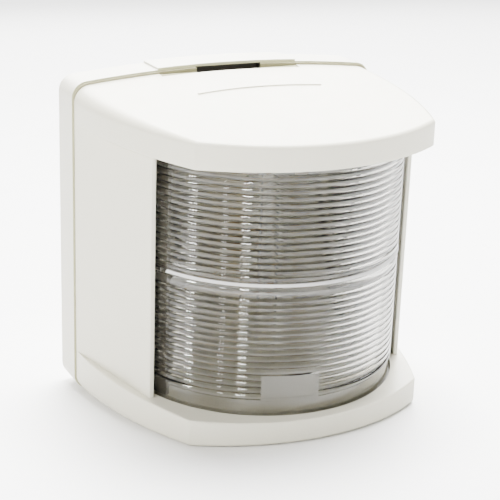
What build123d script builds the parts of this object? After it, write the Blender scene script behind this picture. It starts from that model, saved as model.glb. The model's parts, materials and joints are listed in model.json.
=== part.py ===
from build123d import *
import os
from math import radians, sin, cos, tan

# Stern light for a small boat, closed and latched, all sizes in millimetres.
# The origin is the centre of the flat back face, which lies on the bulkhead.
# +Z is up, +X is to the right seen from behind the lens, and the light shines along -Y.

# ---- outer form -------------------------------------------------------------------------
WIDTH = 100.0                 # across the back
HEIGHT = 100.0                # bottom edge to the crown of the top
CROWN = 3.0                   # rise of the arched top across the width
NOSE_CROWN = 0.45             # what is left of it at the front corners
CORNER_R = 5.0                # outline corners at the back
BASE_DEPTH = 12.3
GASKET_T = 0.7                # compressed gasket in the seam
SEAM_STEP = 0.5               # the base stands proud of the housing at the sides
TOP_STEP = 1.0                # and at the top
SEAM_Y = -(BASE_DEPTH + GASKET_T)
NOSE = (37.1, -70.4)          # half width and depth of the crisp front corners
FRONT_Y = -82.7               # middle of the arched front
TAPER_LOW = 5.7               # rise of the underside from the seam to the front corners
TAPER_TOP = 3.7               # fall of the top's side edges over the same depth
EDGE_R = 1.1                  # round of the front corners and the front's edges

# ---- window between the two visor plates ------------------------------------------------
WINDOW_LOW = -36.4
WINDOW_TOP = 35.6
WALL_T = 1.5
WALL_START = (49.25, -15.0)   # where the side walls leave the plates' outline
WALL_END = (41.8, -53.1)      # front edge of the side walls
SHELL_T = 3.0                 # floor of the housing
RIM_R = 0.4                   # softened edges of the plates and walls round the window
RIM_END = -22.0               # where they stop, short of the seam

# ---- lens -------------------------------------------------------------------------------
LENS_AXIS_Y = -37.7
LENS_R = 41.1                 # over the rib crests
RIB_DEPTH = 0.55
RIB_PITCH = 1.9
LENS_T = 1.6                  # wall under the ribs
BELT_LOW = -1.7
BELT_HIGH = 1.3
RIBS_ABOVE = 17
RIBS_BELOW = 16
LENS_TUCK = 2.0               # how far the lens enters each plate
LENS_HALF_ANGLE = 84.0
SEAL_T = 1.0
PAD_ANGLES = (-25.0, -1.5)    # blank rectangle on the lower ribs, degrees from the front
PAD_RIBS = 4                  # counted up from the lowest
CUTOFF = 67.5                 # half the arc of visibility of a stern light
SCREEN_T = 1.2

# ---- top notch, release slot and latch --------------------------------------------------
NOTCH_W = 46.0
NOTCH_DEPTH = 2.6
SLOT_W = 21.5
SLOT_CUT = 1.6                # the slot cuts this far into the base's rim
SLOT_TOP = 49.6
PAD_RISE = 0.6                # raised strip on the base behind the notch
RIDGE_HALF = 20.0             # moulded line on the top
RIDGE_Y = -34.4
RIDGE_BOW = 1.6
RIDGE_RISE = 0.35
LATCH_TRAVEL = 2.7            # down to the stops
LATCH_LOW = 34.0              # lower edge of the latch's plate
LATCH_HIGH = 43.8
CATCH_W = 12.0
RAIL_X = (7.4, 9.3, 11.6)     # lip, guiding face and outer side of the latch's rails
RAIL_Z = (26.0, 47.5)
RAIL_Y = -10.3                # front of the rails
LATCH_Y = (-8.5, -6.1)
SPRING_Y = -6.6

# ---- fixing and wiring ------------------------------------------------------------------
BACK_T = 3.0
RIM_T = 2.8
HOLE_X = 37.0
HOLE_Z = 34.0
HOLE_R = 2.25
CABLE = (25.0, -24.0)         # cable entry in the back plate
CABLE_R = 3.4
SEAT_R = 5.0

# ---- lamp -------------------------------------------------------------------------------
FOCUS_Z = (BELT_LOW + BELT_HIGH) / 2
CARRIER_Y = (-13.0, -10.6)
CARRIER_HALF = (13.0, 27.5)
POSTS = ((-8.0, 10.0), (8.0, -10.0))   # carrier screws, from the middle of the bulb
CONTACT_Z = 21.25             # inner face of each contact from the middle of the bulb
FOOT = (15.4, -25.0, 5.5)     # half width, front and height of the carrier's foot
BLADE_T = 0.6
BLADE_W = 8.0
BLADE_ROOT_Y = -26.0
BLADE_TIP_Y = -42.5
GLASS_R = 5.5
CAP_R = 4.25
TERMINAL_X = 27.0
TERMINAL_Z = 4.5

os.makedirs("parts", exist_ok=True)


def box(x0, x1, y0, y1, z0, z1):
    middle = Pos((x0 + x1) / 2, (y0 + y1) / 2, (z0 + z1) / 2)
    return middle * Box(abs(x1 - x0), abs(y1 - y0), abs(z1 - z0))


def rod_y(x, z, r, y0, y1):
    """Round bar along Y."""
    return Pos(x, (y0 + y1) / 2, z) * Rot(90, 0, 0) * Cylinder(r, abs(y1 - y0))


def rod_z(x, y, r, z0, z1):
    """Round bar along Z."""
    return Pos(x, y, (z0 + z1) / 2) * Cylinder(r, abs(z1 - z0))


def prism(points, z0, z1):
    """Plan outline raised from z0 to z1."""
    return Pos(0, 0, z0) * extrude(make_face(Polyline(*points, close=True)), z1 - z0)


def side_prism(points, half_x):
    """Outline in depth and height, spread over the width."""
    face = Plane.YZ * make_face(Polyline(*points, close=True))
    return extrude(face, half_x, both=True)


def mirrored(half_points):
    """Closed plan outline from its right half, listed from the back to the front."""
    return list(half_points) + [(-x, y) for x, y in reversed(half_points)]


def both_sides(shape):
    return shape, mirror(shape, Plane.YZ)


def crowned(y, half_w, low, side_top, crown, r):
    """Upright outline at depth y: flat bottom, straight sides, arched top, round corners."""
    edges = [
        Line((-half_w, low), (half_w, low)),
        Line((half_w, low), (half_w, side_top)),
        ThreePointArc((half_w, side_top), (0, side_top + crown), (-half_w, side_top)),
        Line((-half_w, side_top), (-half_w, low)),
    ]
    face = make_face(edges)
    return Plane.XZ.offset(-y) * fillet(face.vertices(), r)


def back_outline(y, inset=0.0, lift=0.0):
    """The outline shared by the base, the gasket and the housing's rear edge."""
    low = -HEIGHT / 2 + inset
    side_top = HEIGHT / 2 - CROWN - inset + lift
    return crowned(y, WIDTH / 2 - inset, low, side_top, CROWN, max(CORNER_R - inset, 1.5))


def slab(y_front, y_back, inset=0.0, lift=0.0):
    """The back outline as a plate between two depths."""
    return extrude(back_outline(y_back, inset, lift), y_back - y_front)


def wall_x(y):
    """Half width over the side walls at depth y."""
    slope = (WALL_START[0] - WALL_END[0]) / (WALL_START[1] - WALL_END[1])
    return WALL_END[0] + (y - WALL_END[1]) * slope


def wall_inner_x(y):
    slope = (WALL_START[0] - WALL_END[0]) / (WALL_START[1] - WALL_END[1])
    return wall_x(y) - WALL_T * (1 + slope * slope) ** 0.5


def low_z(y):
    """Underside of the housing at depth y."""
    return -HEIGHT / 2 + TAPER_LOW * (SEAM_Y - y) / (SEAM_Y - NOSE[1])


def ring(r_in, r_out, z0, z1, half_angle=180.0, middle=0.0):
    """Upright ring about the lens axis, as an arc each side of the front."""
    height = z1 - z0
    face = Pos((r_in + r_out) / 2, (z0 + z1) / 2) * Rectangle(r_out - r_in, height)
    solid = revolve(Plane.XZ * face, Axis.Z, 2 * half_angle)
    return Pos(0, LENS_AXIS_Y, 0) * Rot(0, 0, -90 + middle - half_angle) * solid


def save(name, *solids):
    """Write one sub-part, joined into a compound where it is several solids."""
    pieces = [s for shape in solids for s in shape.solids()]
    shape = pieces[0] if len(pieces) == 1 else Compound(children=pieces)
    export_step(shape, f"parts/{name}.step")


# ---- base -------------------------------------------------------------------------------
def base_shell():
    """Moulded tray that screws to the bulkhead and carries the wiring, lamp and latch."""
    shell = slab(-BASE_DEPTH, 0)
    back_edges = shell.faces().sort_by(Axis.Y)[-1].edges()
    shell = fillet(back_edges, 0.9)
    half = NOTCH_W / 2
    shell += slab(-BASE_DEPTH, 0, lift=PAD_RISE) & box(-half, half, -BASE_DEPTH, -0.9, 40, 60)
    shell -= slab(-BASE_DEPTH - 1, -BACK_T, inset=RIM_T)
    # the release slot runs up into the front edge of the rim
    shell -= box(-SLOT_W / 2, SLOT_W / 2, -BASE_DEPTH - 1, -BASE_DEPTH + SLOT_CUT, 40, SLOT_TOP)
    for x in (-HOLE_X, HOLE_X):
        for z in (-HOLE_Z, HOLE_Z):
            shell += rod_y(x, z, 5.5, -7, -BACK_T + 0.5)
    for x, z in POSTS:
        shell += rod_y(x, FOCUS_Z + z, 3.6, CARRIER_Y[1], -BACK_T + 0.5)
    # guide rails of the latch, with lips in front and stops above and below
    lip, guide, outer = RAIL_X
    rail_back = -BACK_T + 0.5
    for side in (-1, 1):
        shell += box(guide * side, outer * side, RAIL_Y, rail_back, *RAIL_Z)
        shell += box(lip * side, outer * side, RAIL_Y, LATCH_Y[0] - 0.3, *RAIL_Z)
        shell += box(lip * side, outer * side, RAIL_Y, rail_back, LATCH_HIGH + 0.4, RAIL_Z[1])
        shell += box(lip * side, outer * side, RAIL_Y, rail_back, RAIL_Z[0], LATCH_LOW - LATCH_TRAVEL - 0.1)
    # the spring's seat
    shell += box(-9.4, 9.4, RAIL_Y, rail_back, RAIL_Z[0] - 2.4, RAIL_Z[0])
    # ribs over the pockets for the housing's two tongues, and their cheeks
    for x in (-22.0, 22.0):
        shell += box(x - 7, x + 7, -11, -BACK_T + 0.5, -43.2, -41.6)
        for cheek in (x - 7, x + 5.8):
            shell += box(cheek, cheek + 1.2, -11, -BACK_T + 0.5, -48, -41.6)
    for x in (-HOLE_X, HOLE_X):
        for z in (-HOLE_Z, HOLE_Z):
            shell -= rod_y(x, z, HOLE_R, -8, 1)
    for x, z in POSTS:
        shell -= rod_y(x, FOCUS_Z + z, 1.45, CARRIER_Y[1] - 1, -4)
    shell -= rod_y(CABLE[0], CABLE[1], SEAT_R, -5, 1)
    return shell


def seam_gasket():
    """Soft ring in the seam, with a tab that floors the notch and frames the release slot."""
    front, back = SEAM_Y + 0.02, -BASE_DEPTH - 0.02
    body = slab(front, back, inset=SEAM_STEP - 0.05) - slab(front - 1, back + 1, inset=RIM_T + 0.2)
    tab_half = NOTCH_W / 2 - 0.15
    tab_front = SEAM_Y - NOTCH_DEPTH + 0.1
    body += box(-tab_half, tab_half, tab_front, back, 46.6, 48.2)
    body -= box(-SLOT_W / 2, SLOT_W / 2, tab_front + 0.35, back + 1, 40, 60)
    return body


def cable_grommet():
    body = rod_y(*CABLE, SEAT_R - 0.02, -BACK_T, -0.5) + rod_y(*CABLE, 7.2, -BACK_T - 1.5, -BACK_T)
    return body - rod_y(*CABLE, CABLE_R, -10, 1)


# ---- latch ------------------------------------------------------------------------------
def release_latch():
    """Sliding hook: a screwdriver through the slot presses its ledge down."""
    plate = box(-9, 9, *LATCH_Y, LATCH_LOW, LATCH_HIGH)
    arm = box(-6.5, 6.5, -20.0, LATCH_Y[1] - 0.1, 38.4, 40.4)
    ledge = box(-6.5, 6.5, -15.2, -12.6, 40.4, 41.6)
    tip = side_prism([(-18.0, 38.4), (-18.0, 43.4), (-18.8, 43.4), (-20.0, 41.6), (-20.0, 38.4)], 6.0)
    stud = rod_z(0, SPRING_Y, 1.3, LATCH_LOW - 2.5, LATCH_LOW)
    return plate + arm + ledge + tip + stud


def latch_spring():
    """Compression spring under the latch."""
    turns, low, high = 5, RAIL_Z[0] + 0.35, LATCH_LOW - 0.35
    path = Pos(0, SPRING_Y, low) * Helix(pitch=(high - low) / turns, height=high - low, radius=2.3)
    section = Plane(origin=path @ 0, z_dir=path % 0) * Circle(0.3)
    return sweep(section, path, is_frenet=True)


# ---- lamp -------------------------------------------------------------------------------
def bulb_carrier():
    """Ivory bracket that holds the contacts in front of the base."""
    half_x, half_z = CARRIER_HALF
    body = box(-half_x, half_x, *CARRIER_Y, FOCUS_Z - half_z, FOCUS_Z + half_z)
    upright = body.edges().filter_by(Axis.Y)
    body = fillet(upright, 3)
    for side in (-1, 1):
        near = FOCUS_Z + side * (CONTACT_Z + BLADE_T)
        far = near + side * 3.2
        body += box(-5.5, 5.5, BLADE_ROOT_Y + 0.4, CARRIER_Y[1] - 1, near, far)
        # gusset beyond the arm, and a stiffening rib down each edge of the plate
        gusset = [(CARRIER_Y[0], near), (CARRIER_Y[0], far + side * 1.4), (-17.5, far), (-17.5, near)]
        body += side_prism(gusset, 1.0)
        body += box(side * half_x, side * (half_x - 1.6), CARRIER_Y[0] - 3, CARRIER_Y[0] + 1,
                    FOCUS_Z - 17, FOCUS_Z + 17)
        body -= rod_z(0, -20.0, 1.05, near - 10, near + 10)
    # broad foot below, open behind
    foot_x, foot_y, foot_h = FOOT
    low = FOCUS_Z - half_z - foot_h
    body += box(-foot_x, foot_x, foot_y, CARRIER_Y[0] + 0.4, low, low + foot_h + 0.3)
    body -= box(-foot_x + 1.5, foot_x - 1.5, foot_y + 1.5, 0, low - 1, low + foot_h - 1.2)
    for x, z in POSTS:
        body -= rod_y(x, FOCUS_Z + z, 1.6, -20, 0)
    return body


def conductor(side):
    """Flat brass strip from a contact's foot, along the carrier, to its terminal."""
    near = FOCUS_Z + side * CONTACT_Z
    under = near + side * BLADE_T
    foot = box(-BLADE_W / 2, BLADE_W / 2, BLADE_ROOT_Y + 0.1, CARRIER_Y[0], near, under)
    turn = box(-BLADE_W / 2, BLADE_W / 2, CARRIER_Y[0] - 0.6, CARRIER_Y[0], near - side * 4, near)
    run_z = near - side * 4
    run = box(-BLADE_W / 2, TERMINAL_X + 2.5, CARRIER_Y[0] - 0.6, CARRIER_Y[0], run_z, run_z + side * 3.4)
    drop = box(TERMINAL_X - 2.5, TERMINAL_X + 2.5, CARRIER_Y[0] - 0.6, CARRIER_Y[0],
               side * (TERMINAL_Z - 2.8), run_z + side * 3.4)
    body = foot + turn + run + drop
    body -= rod_z(0, -20.0, 1.05, near - 5, near + 5)
    return body - rod_y(TERMINAL_X, side * TERMINAL_Z, 1.45, -20, -5)


def contact_blade(side):
    """Springy end of a contact, slotted so that the bulb's tip slides out forwards."""
    near = FOCUS_Z + side * CONTACT_Z
    far = near + side * BLADE_T
    body = box(-BLADE_W / 2, BLADE_W / 2, BLADE_TIP_Y, BLADE_ROOT_Y, near, far)
    corners = body.edges().filter_by(Axis.Z).group_by(Axis.Y)[0]
    body = fillet(corners, 1.5)
    body -= rod_z(0, LENS_AXIS_Y, 1.35, near - 3, near + 3)
    body -= box(-1.25, 1.25, BLADE_TIP_Y - 1, LENS_AXIS_Y, near - 3, near + 3)
    return body


def contact_rivets():
    rivets = []
    for side in (-1, 1):
        near = FOCUS_Z + side * CONTACT_Z
        far = near + side * (BLADE_T + 3.2)
        shank = rod_z(0, -20.0, 1.0, near, far)
        head = rod_z(0, -20.0, 2.0, near - side * 0.7, near)
        tail = rod_z(0, -20.0, 1.8, far, far + side * 0.8)
        rivets.append(shank + head + tail)
    return rivets


def round_profile(points):
    """Solid of revolution about the bulb's own upright axis from radius and height pairs."""
    face = Plane.XZ * make_face(Polyline(*points, close=True))
    return Pos(0, LENS_AXIS_Y, FOCUS_Z) * revolve(face, Axis.Z)


def bulb_glass():
    outer = [(GLASS_R, 13.0), (4.4, 15.6), (3.4, 16.5), (0, 16.5)]
    inner = [(GLASS_R - 0.6, 12.8), (3.8, 15.0), (3.1, 15.6), (0, 15.6)]
    tubes = [[(r, -z) for r, z in reversed(half)] + half for half in (outer, inner)]
    return round_profile(tubes[0]) - round_profile(tubes[1])


def bulb_cap(side):
    """Metal end cap with the pointed contact tip."""
    cup = [(0, 16.55), (3.45, 16.55), (4.42, 15.65), (4.7, 15.0), (4.7, 15.6), (CAP_R, 16.2)]
    points = cup + [(CAP_R, 19.0), (3.2, 20.4), (1.5, 21.1), (1.1, 21.1), (1.1, 22.4), (0, 22.4)]
    return round_profile([(r, side * z) for r, z in points])


def bulb_filament():
    """Filament on its two support wires."""
    body = round_profile([(0, -8.5), (0.45, -8.5), (0.45, 8.5), (0, 8.5)])
    for side in (-1, 1):
        body += round_profile([(0, side * 8), (0.25, side * 8), (0.25, side * 15.6), (0, side * 15.6)])
    return body


# ---- wiring -----------------------------------------------------------------------------
def terminal_block():
    body = box(TERMINAL_X - 6, TERMINAL_X + 8, CARRIER_Y[0], -BACK_T, -10, 10)
    body = fillet(body.edges().filter_by(Axis.Y), 1.2)
    for side in (-1, 1):
        z = side * TERMINAL_Z
        body -= box(TERMINAL_X - 3, TERMINAL_X + 5, -10.6, -5.4, z - 2.6, z + 2.6)
        body -= rod_y(TERMINAL_X, z, 1.6, -14, -6)
        body -= Pos(TERMINAL_X + 6, -8, z) * Rot(0, 90, 0) * Cylinder(1.8, 8)
    return body


def terminal_inserts():
    """Brass blocks that the clamp screws pull the wires against."""
    inserts = []
    for side in (-1, 1):
        z = side * TERMINAL_Z
        body = box(TERMINAL_X - 2.9, TERMINAL_X + 4.9, -10.5, -5.5, z - 2.5, z + 2.5)
        body -= rod_y(TERMINAL_X, z, 1.4, -12, -4)
        body -= Pos(TERMINAL_X + 4, -8, z) * Rot(0, 90, 0) * Cylinder(1.5, 8)
        inserts.append(body)
    return inserts


def pan_screw(x, z, y_seat, length, shank_r, head_r):
    """Cross-headed screw with its head in front of y_seat."""
    head = rod_y(x, z, head_r, y_seat - 1.8, y_seat)
    head = fillet(head.faces().sort_by(Axis.Y)[0].edges(), 0.9)
    body = head + rod_y(x, z, shank_r, y_seat, y_seat + length)
    for w, h in ((3.0, 0.7), (0.7, 3.0)):
        body -= box(x - w / 2, x + w / 2, y_seat - 2, y_seat - 0.9, z - h / 2, z + h / 2)
    return body


def carrier_screws():
    return [pan_screw(x, FOCUS_Z + z, CARRIER_Y[0], 8.4, 1.4, 2.9) for x, z in POSTS]


def terminal_screws():
    seat = CARRIER_Y[0] - 0.6
    return [pan_screw(TERMINAL_X, side * TERMINAL_Z, seat, 6.0, 1.35, 2.4) for side in (-1, 1)]


# ---- front housing ----------------------------------------------------------------------
def housing_block():
    """The housing's outer form: a tapering loft, cut to the arched front."""
    depth = SEAM_Y - NOSE[1]
    drop = WIDTH / 2 - NOSE[0]
    side_r = (depth ** 2 + drop ** 2) / (2 * drop)
    front = FRONT_Y - 1.0
    steps = 6
    sections = []
    for i in range(steps + 1):
        y = SEAM_Y + (front - SEAM_Y) * i / steps
        along = (SEAM_Y - y) / depth
        # the sides leave the seam square to it and curve in as one arc
        half_w = WIDTH / 2 - side_r + (side_r ** 2 - (SEAM_Y - y) ** 2) ** 0.5
        half_w -= SEAM_STEP * (1 - along)
        side_top = HEIGHT / 2 - CROWN - TAPER_TOP * along - TOP_STEP * (1 - along)
        crown = CROWN - (CROWN - NOSE_CROWN) * along
        r = max(CORNER_R - (CORNER_R - EDGE_R) * along, EDGE_R)
        sections.append(crowned(y, half_w, low_z(y), side_top, max(crown, 0.1), r))
    block = loft(sections)
    sagitta = NOSE[1] - FRONT_Y
    bow_r = (NOSE[0] ** 2 + sagitta ** 2) / (2 * sagitta)
    block = block & rod_z(0, FRONT_Y + bow_r, bow_r, -60, 60)
    corners = [e for e in block.edges() if e.center().Y < -69 and abs(e.center().X) > 36 and e.length > 60]
    # the round runs on from the upright corners along the top and bottom of the front
    return fillet(corners, EDGE_R)


def housing_hollow():
    """Space inside both plates, behind and within the lens."""
    rear = prism(mirrored([(45, SEAM_Y + 1), (42.4, -31)]), -60, 60)
    inside = rear + rod_z(0, LENS_AXIS_Y, LENS_R - 4.6, -60, 60)
    slope = TAPER_LOW / (SEAM_Y - NOSE[1])
    floor = [(-76.0, low_z(-76.0) + SHELL_T), (SEAM_Y + 1, low_z(SEAM_Y) + SHELL_T - slope)]
    ceiling = [(SEAM_Y + 1, 45.1), (-76.0, 39.8)]
    return inside & side_prism(floor + ceiling, 50)


def softened(block):
    """Rounds the plates' edges above and below the window, and the side walls' front edges."""
    fore = block & box(-60, 60, -95, RIM_END, -60, 60)
    rear = block & box(-60, 60, RIM_END, 0, -60, 60)

    def is_rim(edge):
        size = edge.bounding_box().size
        middle = edge @ 0.5
        level = min(abs(middle.Z - WINDOW_TOP), abs(middle.Z - WINDOW_LOW)) < 0.01
        ahead = middle.Y < WALL_END[1] - 0.1
        clear = (middle.X ** 2 + (middle.Y - LENS_AXIS_Y) ** 2) ** 0.5 > LENS_R + 0.5 if ahead \
            else abs(middle.X) > wall_x(middle.Y) + 0.8
        return size.Z < 0.01 and size.Y > 0.01 and level and clear

    def is_wall_corner(edge):
        middle = edge @ 0.5
        return edge.bounding_box().size.Z > 60 and abs(middle.Y - WALL_END[1]) < 0.01

    return fillet([e for e in fore.edges() if is_rim(e) or is_wall_corner(e)], RIM_R) + rear


def front_housing():
    block = housing_block()
    block -= housing_hollow()
    # between the plates only the two side walls remain
    back = SEAM_Y + 1
    outer = prism(mirrored([(wall_x(back), back), WALL_END]), WINDOW_LOW, WINDOW_TOP)
    front = WALL_END[1] - 1
    inner = prism(mirrored([(wall_inner_x(back), back), (wall_inner_x(front), front)]),
                  WINDOW_LOW - 1, WINDOW_TOP + 1)
    block -= box(-60, 60, -90, 0, WINDOW_LOW, WINDOW_TOP) - (outer - inner)
    block = softened(block)
    # grooves that take the lens and its seal
    groove = LENS_TUCK + SEAL_T
    block -= ring(LENS_R - 2.7, LENS_R + 0.3, WINDOW_TOP - 1, WINDOW_TOP + groove, LENS_HALF_ANGLE + 3)
    block -= ring(LENS_R - 2.7, LENS_R + 0.3, WINDOW_LOW - groove, WINDOW_LOW + 1, LENS_HALF_ANGLE + 3)
    # notch in the rear edge of the top
    block -= box(-NOTCH_W / 2, NOTCH_W / 2, SEAM_Y - NOTCH_DEPTH, SEAM_Y + 1, 44, 60)
    # catch that the latch holds
    block += box(-CATCH_W / 2, CATCH_W / 2, -17.6, -15.6, 41.2, 46)
    # locating tongues at the bottom
    for x in (-22.0, 22.0):
        tongue = [(-24.0, -46.5), (-24.0, -44.7), (-6.0, -45.4), (-6.0, -46.6)]
        block += Pos(x, 0, 0) * side_prism(tongue, 4.8)
    return block + top_line()


def top_line():
    """Thin curved line standing a little above the top."""
    bow_r = (RIDGE_HALF ** 2 + RIDGE_BOW ** 2) / (2 * RIDGE_BOW)
    centre_y = RIDGE_Y + RIDGE_BOW - bow_r
    line = rod_z(0, centre_y, bow_r + 0.35, 46, 50) - rod_z(0, centre_y, bow_r - 0.35, 45, 51)
    line = line & box(-RIDGE_HALF, RIDGE_HALF, RIDGE_Y - 3, RIDGE_Y + 3, 46, 50)
    return line & (Pos(0, 0, RIDGE_RISE) * housing_block())


def lens():
    """Clear drum with a plain belt at the focus and ribs above and below it."""
    root = LENS_R - RIB_DEPTH
    outline = [(root - LENS_T, WINDOW_LOW - LENS_TUCK), (root, WINDOW_LOW - LENS_TUCK)]
    low = BELT_LOW - RIBS_BELOW * RIB_PITCH
    outline += [(root, low - 0.6)]

    def rib(z):
        shoulder = LENS_R - 0.2
        rise = [(root, z), (shoulder, z + 0.45), (LENS_R, z + RIB_PITCH / 2)]
        return rise + [(shoulder, z + RIB_PITCH - 0.45)]

    for i in range(RIBS_BELOW):
        outline += rib(low + i * RIB_PITCH)
    outline += [(root, BELT_LOW), (LENS_R - 0.15, BELT_LOW + 0.5), (LENS_R, (BELT_LOW + BELT_HIGH) / 2)]
    outline += [(LENS_R - 0.15, BELT_HIGH - 0.5)]
    for i in range(RIBS_ABOVE - 1):
        outline += rib(BELT_HIGH + i * RIB_PITCH)
    high = BELT_HIGH + (RIBS_ABOVE - 1) * RIB_PITCH
    outline += [(root, high), (root, WINDOW_TOP + LENS_TUCK), (root - LENS_T, WINDOW_TOP + LENS_TUCK)]
    face = Plane.XZ * make_face(Polyline(*outline, close=True))
    drum = revolve(face, Axis.Z, 2 * LENS_HALF_ANGLE)
    drum = Pos(0, LENS_AXIS_Y, 0) * Rot(0, 0, -90 - LENS_HALF_ANGLE) * drum
    middle = (PAD_ANGLES[0] + PAD_ANGLES[1]) / 2
    half = (PAD_ANGLES[1] - PAD_ANGLES[0]) / 2
    return drum + ring(root - 0.3, LENS_R - 0.05, low, low + PAD_RIBS * RIB_PITCH, half, middle)


def cutoff_screens():
    """Dark strips behind the ends of the lens that keep the light within its sector."""
    r_out = LENS_R - RIB_DEPTH - LENS_T - 0.1
    half = (LENS_HALF_ANGLE - CUTOFF) / 2
    return [ring(r_out - SCREEN_T, r_out, WINDOW_LOW + 0.02, WINDOW_TOP - 0.02, half, side * (CUTOFF + half))
            for side in (-1, 1)]


def lens_rim_seals():
    r_in, r_out = LENS_R - 2.6, LENS_R + 0.2
    top = WINDOW_TOP + LENS_TUCK
    low = WINDOW_LOW - LENS_TUCK
    return (ring(r_in, r_out, top, top + SEAL_T, LENS_HALF_ANGLE + 2),
            ring(r_in, r_out, low - SEAL_T, low, LENS_HALF_ANGLE + 2))


def lens_side_seals():
    """Upright beads between the lens and each side wall."""
    back, front = -41.6, -49.0
    outer = [(wall_inner_x(y) - 0.02, y) for y in (back, front)]
    bead = prism(outer + [(36, front), (36, back)], WINDOW_LOW + 0.02, WINDOW_TOP - 0.02)
    bead -= rod_z(0, LENS_AXIS_Y, LENS_R + 0.02, -50, 50)
    return both_sides(bead)


save("base_shell", base_shell())
save("seam_gasket", seam_gasket())
save("cable_grommet", cable_grommet())
save("release_latch", release_latch())
save("latch_spring", latch_spring())
save("bulb_carrier", bulb_carrier())
save("upper_conductor", conductor(1))
save("lower_conductor", conductor(-1))
save("upper_contact", contact_blade(1))
save("lower_contact", contact_blade(-1))
save("contact_rivets", *contact_rivets())
save("bulb_glass", bulb_glass())
save("upper_bulb_cap", bulb_cap(1))
save("lower_bulb_cap", bulb_cap(-1))
save("bulb_filament", bulb_filament())
save("terminal_block", terminal_block())
save("terminal_inserts", *terminal_inserts())
save("terminal_screws", *terminal_screws())
save("carrier_screws", *carrier_screws())
save("front_housing", front_housing())
save("lens", lens())
save("cutoff_screens", *cutoff_screens())
save("lens_rim_seals", *lens_rim_seals())
save("lens_side_seals", *lens_side_seals())
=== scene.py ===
import json
from math import atan, cos, pi, radians, sin, sqrt

import bmesh
import bpy
from mathutils import Matrix, Vector


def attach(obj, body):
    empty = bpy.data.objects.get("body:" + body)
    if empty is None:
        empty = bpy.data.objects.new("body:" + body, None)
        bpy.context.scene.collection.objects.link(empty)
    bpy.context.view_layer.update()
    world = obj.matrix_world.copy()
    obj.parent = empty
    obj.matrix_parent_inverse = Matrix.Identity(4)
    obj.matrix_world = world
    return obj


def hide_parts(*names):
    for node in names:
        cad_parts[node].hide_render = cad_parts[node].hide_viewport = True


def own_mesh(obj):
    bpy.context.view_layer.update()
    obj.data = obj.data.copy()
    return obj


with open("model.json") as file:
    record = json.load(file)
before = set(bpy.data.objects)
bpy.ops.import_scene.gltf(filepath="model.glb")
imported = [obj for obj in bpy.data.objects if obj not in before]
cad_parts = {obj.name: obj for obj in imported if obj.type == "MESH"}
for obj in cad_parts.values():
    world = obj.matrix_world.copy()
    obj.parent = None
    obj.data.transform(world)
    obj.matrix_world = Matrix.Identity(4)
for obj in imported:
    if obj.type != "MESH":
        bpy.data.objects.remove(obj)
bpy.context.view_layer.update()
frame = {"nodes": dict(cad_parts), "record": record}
nodes = frame["nodes"]
MM = 0.001

# ---- sizes shared with the CAD part, in millimetres --------------------------------------
HALF_HEIGHT = 50.0
SEAM_Y = -13.0
TAPER = 5.7 / 57.4                # slope of the underside
RIM_FRONT_Y = -12.25              # just behind the front face of the base's rim
WALL_SHADE_END = -42.0            # the dark inner faces of the side walls stop here
SLOT_HALF = 10.85                 # the release slot, with a small margin
SLOT_FLOOR = 45.0
SLOT_TOP = 49.7
SLOT_BACK = -10.0

LENS_AXIS_Y = -37.7
LENS_R = 41.1                     # over the rib crests
LENS_ROOT = LENS_R - 0.55
LENS_INNER = LENS_ROOT - 1.6
LENS_HALF_ANGLE = 84.0
LENS_LOW, LENS_HIGH = -38.4, 37.6
BELT = (-1.7, 1.3)
RIB_PITCH = 1.9
RIBS_ABOVE, RIBS_BELOW = 17, 16
PAD_ANGLES = (-25.0, -1.5)
PAD_RIBS = 4

SPRING_Y = -6.6
SPRING_Z = (26.35, 33.65)         # centre line of the wire, bottom and top
SPRING_R, WIRE_R = 2.3, 0.3

# ---- sizes that only the looks need, in millimetres --------------------------------------
ROOT_MARGIN = 0.3                 # plain wall that is drawn under the lowest rib
BELT_EDGE = 0.25                  # height of the slope at the belt's upper edge
LEDGE_Z = (1.95, 2.6)             # upward-facing ledge on the first rib above the belt
LEDGE_R = (LENS_R + 0.2, LENS_ROOT)
LEDGE_FOOT = (0.12, 0.3)          # how the ledge runs out into the next rib: outwards, upwards
LEDGE_ANGLES = (-67.0, 62.0)      # where the ledge is painted white as a painted highlight, in degrees from the front
INNER_ROWS = (LENS_HIGH, 20.0, 0.0, -20.0, LENS_LOW)
RIB_STEPS = 12                    # points on the profile of one rib
COLUMN_STEP = 0.6                 # degrees between the lens mesh's columns
PAD_CLEAR = 0.2                   # no other column is this close to the pad's sides, in degrees
PAD_EDGE = 0.04                   # half the width of the pad's side faces, in degrees
PAD_DEPTH = 0.03
COIL_STEPS, WIRE_SIDES = 30, 12   # per turn, and round the wire
SPRING_TURNS = 6
CLOSED_TURNS = 0.8                # at each end, where the coils touch
CLOSED_PITCH = 2.05 * WIRE_R

# ---- camera, in front, to the left and above, slightly rolled ----------------------------
CAMERA_AT = Vector((-178.5, -379.9, 133.4)) * MM
AZIMUTH, ELEVATION, ROLL = radians(-27.11), radians(19.31), radians(2.04)
FOCAL_LENGTH = 98.0
SENSOR = 36.0

back = Vector((sin(AZIMUTH) * cos(ELEVATION), -cos(AZIMUTH) * cos(ELEVATION), sin(ELEVATION)))
level = Vector((0, 0, 1)).cross(back).normalized()
upright = back.cross(level)
right = level * cos(ROLL) + upright * sin(ROLL)
up = upright * cos(ROLL) - level * sin(ROLL)
camera = bpy.data.objects.new("camera", bpy.data.cameras.new("camera"))
camera.data.lens = FOCAL_LENGTH
camera.data.sensor_width = SENSOR
camera.matrix_world = Matrix((
    (right.x, up.x, back.x, CAMERA_AT.x),
    (right.y, up.y, back.y, CAMERA_AT.y),
    (right.z, up.z, back.z, CAMERA_AT.z),
    (0, 0, 0, 1),
))
bpy.context.scene.collection.objects.link(camera)
bpy.context.scene.camera = camera


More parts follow.
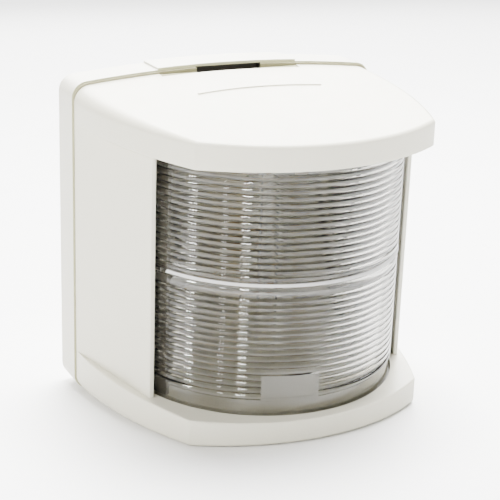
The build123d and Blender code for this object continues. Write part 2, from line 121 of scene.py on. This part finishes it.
# ---- materials ---------------------------------------------------------------------------
class Finish:
    """A Principled material with helpers for procedural detail measured in millimetres."""

    def __init__(self, name, colour, rough, **values):
        self.material = bpy.data.materials.new(name)
        self.material.use_nodes = True
        self.tree = self.material.node_tree
        self.shader = self.tree.nodes["Principled BSDF"]
        self.shader.inputs["Base Color"].default_value = (*colour, 1)
        self.shader.inputs["Roughness"].default_value = rough
        for key, value in values.items():
            self.shader.inputs[key.replace("_", " ")].default_value = value
        self.coords = self.add("ShaderNodeTexCoord").outputs["Object"]
        self.normal = None

    def add(self, kind, **settings):
        node = self.tree.nodes.new(kind)
        for key, value in settings.items():
            setattr(node, key, value)
        return node

    def link(self, source, target):
        self.tree.links.new(source, target)

    def stretched(self, scale):
        """Coordinates scaled along each axis, for drawn or brushed marks."""
        mapping = self.add("ShaderNodeMapping")
        mapping.inputs["Scale"].default_value = scale
        self.link(self.coords, mapping.inputs["Vector"])
        return mapping.outputs["Vector"]

    def noise(self, size_mm, detail=3.0, roughness=0.5, scale=(1, 1, 1)):
        node = self.add("ShaderNodeTexNoise")
        node.inputs["Scale"].default_value = 1 / (size_mm * MM)
        node.inputs["Detail"].default_value = detail
        node.inputs["Roughness"].default_value = roughness
        self.link(self.stretched(scale), node.inputs["Vector"])
        return node.outputs["Fac"]

    def rough(self, source, low, high, start=0.3, end=0.7):
        """Varies the roughness from low to high as the source goes from start to end."""
        node = self.add("ShaderNodeMapRange")
        for key, value in (("From Min", start), ("From Max", end), ("To Min", low), ("To Max", high)):
            node.inputs[key].default_value = value
        self.link(source, node.inputs["Value"])
        self.link(node.outputs["Result"], self.shader.inputs["Roughness"])
        return self

    def tint(self, source, first, second, start=0.3, end=0.7):
        """Blends the base colour between two tones."""
        ramp = self.add("ShaderNodeValToRGB")
        ramp.color_ramp.elements[0].position = start
        ramp.color_ramp.elements[0].color = (*first, 1)
        ramp.color_ramp.elements[1].position = end
        ramp.color_ramp.elements[1].color = (*second, 1)
        self.link(source, ramp.inputs["Fac"])
        self.link(ramp.outputs["Color"], self.shader.inputs["Base Color"])
        return self

    def axis(self, name, output="Object"):
        """One coordinate of the position, or of the surface normal, in the object's own frame."""
        texture = self.add("ShaderNodeTexCoord")
        split = self.add("ShaderNodeSeparateXYZ")
        self.link(texture.outputs[output], split.inputs[0])
        return split.outputs[name]

    def math(self, operation, first, second=0.0):
        node = self.add("ShaderNodeMath", operation=operation)
        for socket, value in zip(node.inputs, (first, second)):
            if isinstance(value, float):
                socket.default_value = value
            else:
                self.link(value, socket)
        return node.outputs["Value"]

    def painted(self, mask, colour):
        """Covers the base colour with another one where the mask is 1."""
        mix = self.add("ShaderNodeMix", data_type="RGBA")
        before = self.shader.inputs["Base Color"].links[0].from_socket
        self.link(mask, mix.inputs["Factor"])
        self.link(before, mix.inputs["A"])
        mix.inputs["B"].default_value = (*colour, 1)
        self.link(mix.outputs["Result"], self.shader.inputs["Base Color"])
        return self

    def bump(self, source, depth_mm):
        node = self.add("ShaderNodeBump")
        node.inputs["Distance"].default_value = depth_mm * MM
        node.inputs["Strength"].default_value = 1.0
        self.link(source, node.inputs["Height"])
        if self.normal is not None:
            self.link(self.normal, node.inputs["Normal"])
        self.normal = node.outputs["Normal"]
        self.link(self.normal, self.shader.inputs["Normal"])
        return self


def moulded(name, colour, shade, rough):
    """Injection-moulded gloss plastic: faint flow tones, orange peel and fine handling marks."""
    f = Finish(name, colour, rough, IOR=1.49)
    f.tint(f.noise(22, 3), colour, shade)
    f.rough(f.noise(5, 5, 0.6), rough - 0.05, rough + 0.07)
    f.bump(f.noise(2.6, 2), 0.010)
    f.bump(f.noise(0.35, 2), 0.0016)
    return f


def housing_finish():
    """White gloss outside; the side walls' inner faces behind the lens are painted near-black, a
    painted shade for the unlit interior.
    """
    f = moulded("housing_plastic", (0.72, 0.697, 0.575), (0.705, 0.682, 0.56), 0.34)
    # position times normal is negative on a face that looks back at the middle plane
    towards_middle = f.math("MULTIPLY", f.axis("X"), f.axis("X", "Normal"))
    facing_in = f.math("LESS_THAN", towards_middle, -10 * MM)
    behind_lens = f.math("GREATER_THAN", f.axis("Y"), WALL_SHADE_END * MM)
    # painted shade: the side walls' inner faces behind WALL_SHADE_END are painted near-black
    return f.painted(f.math("MULTIPLY", facing_in, behind_lens), (0.05, 0.047, 0.043))


def base_finish():
    """White outside, with painted shade: the rim's front face in the seam is painted a darker, warmer
    tone and the release slot near-black.
    """
    f = moulded("base_plastic", (0.755, 0.735, 0.63), (0.74, 0.72, 0.615), 0.38)
    # painted shade in the seam's crease: the base's faces ahead of RIM_FRONT_Y, the rim's front face,
    # are painted a dark yellowish tone
    f.painted(f.math("LESS_THAN", f.axis("Y"), RIM_FRONT_Y * MM), (0.5, 0.49, 0.3))
    # painted shade in the release slot: a box inside it is painted near-black
    across = f.math("LESS_THAN", f.math("ABSOLUTE", f.axis("X")), SLOT_HALF * MM)
    under = f.math("LESS_THAN", f.axis("Z"), SLOT_TOP * MM)
    above = f.math("GREATER_THAN", f.axis("Z"), SLOT_FLOOR * MM)
    ahead = f.math("LESS_THAN", f.axis("Y"), SLOT_BACK * MM)
    slot = f.math("MULTIPLY", f.math("MULTIPLY", across, under), f.math("MULTIPLY", above, ahead))
    return f.painted(slot, (0.012, 0.011, 0.009))


def metal(name, colour, worn, rough, grain, depth=0.004):
    """Drawn or rolled metal with grain along one axis and duller stains."""
    f = Finish(name, colour, rough, Metallic=1.0)
    f.tint(f.noise(3.5, 4), colour, worn)
    f.rough(f.noise(1.2, 4, 0.6), rough - 0.07, rough + 0.12)
    f.bump(f.noise(0.25, 3, 0.6, grain), depth)
    return f


def rubbery(name, colour, shade, rough):
    """Rubber or silicone: cloudy tones and a fine dull grain."""
    f = Finish(name, colour, rough)
    f.tint(f.noise(4, 4, 0.6), colour, shade)
    f.rough(f.noise(0.8, 3), rough - 0.08, rough + 0.08)
    f.bump(f.noise(0.5, 4, 0.65), 0.02)
    return f


def clear(name, tint, rough, ripple_mm, ripple_depth, ior, coat=0.0):
    """Polished clear material with the slow ripple of a moulding or drawn tube."""
    f = Finish(name, tint, rough, IOR=ior)
    f.shader.inputs["Transmission Weight"].default_value = 1.0
    f.shader.inputs["Coat Weight"].default_value = coat
    f.shader.inputs["Coat IOR"].default_value = 1.6
    f.shader.inputs["Coat Roughness"].default_value = 0.02
    f.rough(f.noise(6, 4), rough, rough + 0.035)
    f.bump(f.noise(ripple_mm, 2), ripple_depth)
    return f


def ledge_highlight():
    """A painted highlight: the ledge's face is white and diffuse, so the light from above shows as a
    bright line along the belt.
    """
    f = Finish("lens_ledge_highlight", (0.97, 0.97, 0.96), 0.6, IOR=1.49)
    f.tint(f.noise(1.5, 4), (0.98, 0.98, 0.97), (0.93, 0.93, 0.92))
    f.bump(f.noise(0.15, 3), 0.01)
    return f


def paper():
    """The floor: plain pale paper with a faint tooth."""
    f = Finish("floor", (0.9, 0.9, 0.895), 0.5)
    f.bump(f.noise(0.8, 3), 0.01)
    f.tint(f.noise(40, 3), (0.94, 0.94, 0.935), (0.925, 0.925, 0.918))
    return f


ALONG_X, ALONG_Y, ALONG_Z = (0.12, 1, 1), (1, 0.12, 1), (1, 1, 0.15)
finishes = {
    "housing_plastic": housing_finish(),
    "base_plastic": base_finish(),
    "latch_plastic": moulded("latch_plastic", (0.5, 0.49, 0.46), (0.47, 0.46, 0.43), 0.4),
    "ivory_plastic": moulded("ivory_plastic", (0.62, 0.56, 0.42), (0.58, 0.52, 0.38), 0.42),
    "screen_black": moulded("screen_black", (0.21, 0.195, 0.17), (0.17, 0.155, 0.135), 0.6),
    # the gasket's dark olive-brown is partly its rubber's colour and partly painted shade for the
    # recessed seam
    "gasket_rubber": rubbery("gasket_rubber", (0.3, 0.29, 0.175), (0.25, 0.235, 0.135), 0.75),
    "seal_silicone": rubbery("seal_silicone", (0.55, 0.54, 0.5), (0.5, 0.49, 0.45), 0.5),
    "grommet_rubber": rubbery("grommet_rubber", (0.02, 0.02, 0.02), (0.032, 0.031, 0.03), 0.65),
    "brass_strip": metal("brass_strip", (0.62, 0.5, 0.27), (0.45, 0.35, 0.18), 0.36, ALONG_X),
    "bronze_spring": metal("bronze_spring", (0.6, 0.43, 0.27), (0.42, 0.29, 0.17), 0.34, ALONG_Y),
    "rivet_brass": metal("rivet_brass", (0.62, 0.5, 0.3), (0.44, 0.35, 0.2), 0.32, (1, 1, 0.3)),
    "spring_steel": metal("spring_steel", (0.55, 0.55, 0.56), (0.4, 0.4, 0.41), 0.3, (1, 1, 1), 0.003),
    "lamp_cap": metal("lamp_cap", (0.66, 0.65, 0.62), (0.52, 0.51, 0.48), 0.28, ALONG_Z, 0.003),
    "filament": metal("filament", (0.3, 0.3, 0.31), (0.2, 0.2, 0.21), 0.4, (1, 1, 0.05), 0.01),
    "screw_steel": metal("screw_steel", (0.58, 0.58, 0.59), (0.44, 0.44, 0.45), 0.3, (1, 0.2, 1)),
    "lens_clear": clear("lens_clear", (0.75, 0.74, 0.705), 0.015, 7.0, 0.006, 1.53, 0.45),
    "lamp_glass": clear("lamp_glass", (0.97, 0.98, 0.98), 0.01, 5.0, 0.012, 1.5),
}
for subpart in frame["record"]["subparts"]:
    data = nodes[subpart["node"]].data
    data.materials.clear()
    data.materials.append(finishes[subpart["material_slot"]].material)


# ---- meshes ------------------------------------------------------------------------------
def as_object(mesh, name, sharp_angle, *used):
    """Turns the mesh into a smooth object with the given finishes and crisp edges."""
    bmesh.ops.recalc_face_normals(mesh, faces=mesh.faces)
    data = bpy.data.meshes.new(name)
    mesh.to_mesh(data)
    mesh.free()
    data.shade_smooth()
    data.set_sharp_from_angle(angle=radians(sharp_angle))
    for finish in used:
        data.materials.append(finish.material)
    obj = bpy.data.objects.new(name, data)
    bpy.context.scene.collection.objects.link(obj)
    return obj


# ---- lens, with the ribs' true rounded profile -------------------------------------------
def rib_points(low, pitch, crest, root, steps):
    """One convex rib between two grooves: circular, meeting its neighbours in a sharp valley."""
    rise = crest - root
    half = pitch / 2
    radius = (half * half + rise * rise) / (2 * rise)
    points = []
    for i in range(steps):
        z = -half + pitch * i / steps
        points.append((crest - radius + sqrt(radius * radius - z * z), low + half + z))
    return points


def lens_profile():
    """Outer radius and height from the lower rim to the upper one."""
    low = BELT[0] - RIBS_BELOW * RIB_PITCH
    points = [(LENS_ROOT, LENS_LOW), (LENS_ROOT, low - ROOT_MARGIN)]
    for i in range(RIBS_BELOW):
        points += rib_points(low + i * RIB_PITCH, RIB_PITCH, LENS_R, LENS_ROOT, RIB_STEPS)
    points += rib_points(BELT[0], BELT[1] - BELT[0], LENS_R, LENS_ROOT, 2 * RIB_STEPS)
    points += [(LENS_ROOT, BELT[1]), (LENS_R, BELT[1] + BELT_EDGE)]
    points += list(zip(LEDGE_R, LEDGE_Z))
    points.append((LENS_ROOT + LEDGE_FOOT[0], LEDGE_Z[1] + LEDGE_FOOT[1]))
    for i in range(1, RIBS_ABOVE):
        points += rib_points(BELT[1] + i * RIB_PITCH, RIB_PITCH, LENS_R, LENS_ROOT, RIB_STEPS)
    points += [(LENS_ROOT, BELT[1] + RIBS_ABOVE * RIB_PITCH), (LENS_ROOT, LENS_HIGH)]
    return points


def lens_columns():
    """Angles of the mesh's columns, with a close pair at each side of the pad, where the ribs end."""
    count = int(2 * LENS_HALF_ANGLE / COLUMN_STEP)
    angles = [-LENS_HALF_ANGLE + 2 * LENS_HALF_ANGLE * i / count for i in range(count + 1)]
    for edge in PAD_ANGLES:
        angles = [a for a in angles if abs(a - edge) > PAD_CLEAR]
        angles += [edge - PAD_EDGE, edge + PAD_EDGE]
    return sorted(angles)


def build_lens():
    outer = lens_profile()
    angles = lens_columns()
    pad_low = BELT[0] - RIBS_BELOW * RIB_PITCH
    pad_high = pad_low + PAD_RIBS * RIB_PITCH
    mesh = bmesh.new()
    rings = []
    for a in angles:
        on_pad = PAD_ANGLES[0] < a < PAD_ANGLES[1]
        ring = [
            (LENS_R - PAD_DEPTH if on_pad and pad_low <= z <= pad_high else r, z) for r, z in outer
        ]
        ring += [(LENS_INNER, z) for z in INNER_ROWS]
        across, ahead = sin(radians(a)), cos(radians(a))
        rings.append([
            mesh.verts.new((r * across * MM, (LENS_AXIS_Y - r * ahead) * MM, z * MM)) for r, z in ring
        ])
    ledge = outer.index((LEDGE_R[0], LEDGE_Z[0]))
    for angle, first, second in zip(angles, rings, rings[1:]):
        # painted highlight: the ledge's faces within LEDGE_ANGLES get the white, diffuse finish
        on_highlight_ledge = LEDGE_ANGLES[0] < angle < LEDGE_ANGLES[1]
        for k in range(len(first)):
            j = (k + 1) % len(first)
            face = mesh.faces.new((first[k], second[k], second[j], first[j]))
            face.material_index = 1 if k == ledge and on_highlight_ledge else 0
    mesh.faces.new(rings[0])
    mesh.faces.new(list(reversed(rings[-1])))
    lens = as_object(mesh, "ribbed_lens", 32, finishes["lens_clear"], ledge_highlight())
    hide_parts("lens")
    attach(lens, "front")


build_lens()


# ---- spring under the latch, a fixed coil attached to the base ---------------------------
def coil_height(turn):
    """Height of the wire's centre line: closed coils at both ends, open ones between."""
    closed_rise = CLOSED_TURNS * CLOSED_PITCH
    open_pitch = (SPRING_Z[1] - SPRING_Z[0] - 2 * closed_rise) / (SPRING_TURNS - 2 * CLOSED_TURNS)
    if turn < CLOSED_TURNS:
        return SPRING_Z[0] + turn * CLOSED_PITCH
    if turn > SPRING_TURNS - CLOSED_TURNS:
        return SPRING_Z[1] - (SPRING_TURNS - turn) * CLOSED_PITCH
    return SPRING_Z[0] + closed_rise + (turn - CLOSED_TURNS) * open_pitch


def build_spring():
    mesh = bmesh.new()
    rings = []
    for i in range(SPRING_TURNS * COIL_STEPS + 1):
        turn = i / COIL_STEPS
        a = 2 * pi * turn
        ring = []
        for k in range(WIRE_SIDES):
            b = 2 * pi * k / WIRE_SIDES
            r = SPRING_R + WIRE_R * cos(b)
            z = coil_height(turn) + WIRE_R * sin(b)
            ring.append(mesh.verts.new((r * cos(a) * MM, (SPRING_Y + r * sin(a)) * MM, z * MM)))
        rings.append(ring)
    for first, second in zip(rings, rings[1:]):
        for k in range(WIRE_SIDES):
            j = (k + 1) % WIRE_SIDES
            mesh.faces.new((first[k], first[j], second[j], second[k]))
    mesh.faces.new(rings[0])
    mesh.faces.new(list(reversed(rings[-1])))
    spring = as_object(mesh, "coiled_spring", 50, finishes["spring_steel"])
    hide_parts("latch_spring")
    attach(spring, "base")
    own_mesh(spring)


build_spring()


# ---- floor and light, in metres ----------------------------------------------------------
# the light lies on its tapered underside, so the floor slopes with it
FLOOR_SIZE = 16
FLOOR_GAP = 0.35 * MM
bpy.ops.mesh.primitive_plane_add(size=FLOOR_SIZE)
floor = bpy.context.object
floor.name = "floor"
floor.rotation_euler = (-atan(TAPER), 0, 0)
floor.location = (0, SEAM_Y * MM, -HALF_HEIGHT * MM - FLOOR_GAP)
floor.data.materials.append(paper().material)

world = bpy.data.worlds.new("studio")
bpy.context.scene.world = world
world.use_nodes = True
world.node_tree.nodes["Background"].inputs["Color"].default_value = (1.0, 0.97, 0.9, 1)
world.node_tree.nodes["Background"].inputs["Strength"].default_value = 0.25


def area(name, at, width, height, radiance, colour=(1, 1, 1), aim=(0, -0.04, 0)):
    """A rectangular softbox of a given surface radiance, turned towards the aim."""
    lamp = bpy.data.lights.new(name, "AREA")
    lamp.shape = "RECTANGLE"
    lamp.size = width
    lamp.size_y = height
    lamp.energy = radiance * pi * width * height
    lamp.color = colour
    holder = bpy.data.objects.new(name, lamp)
    bpy.context.scene.collection.objects.link(holder)
    holder.location = at
    holder.rotation_euler = (Vector(aim) - Vector(at)).to_track_quat("-Z", "Y").to_euler()
    return holder


def disc(name, at, diameter, radiance):
    """A round softbox, which has pi / 4 of the area of the square around it."""
    area(name, at, diameter, diameter, radiance * pi / 4).data.shape = "DISK"


def around(azimuth, elevation, distance):
    """A point seen from the origin in that direction; azimuth 0 is in front and 90 is along +X."""
    a, e = radians(azimuth), radians(elevation)
    return (sin(a) * cos(e) * distance, -cos(a) * cos(e) * distance, sin(e) * distance)


disc("overhead", (0.12, 0.16, 0.95), 0.5, 98)
area("back", around(163, 26, 1.5), 1.4, 0.8, 16)
area("right", around(95, 45, 1.1), 0.8, 0.8, 6)
area("backdrop", (0.5, 2.3, 1.6), 3.2, 2.2, 10, aim=(0.4, 2.1, 0))

# narrow sources, each of which the ribs reflect as an upright row of bright dots
STRIP_COLOUR = (1, 0.99, 0.97)
area("left_strip", around(-85, 32, 1.2), 0.13, 0.17, 135, STRIP_COLOUR)
area("front_strip", around(-38, 32, 1.2), 0.13, 0.17, 125, STRIP_COLOUR)
area("middle_strip", around(-56, 32, 1.2), 0.08, 0.2, 40, STRIP_COLOUR)
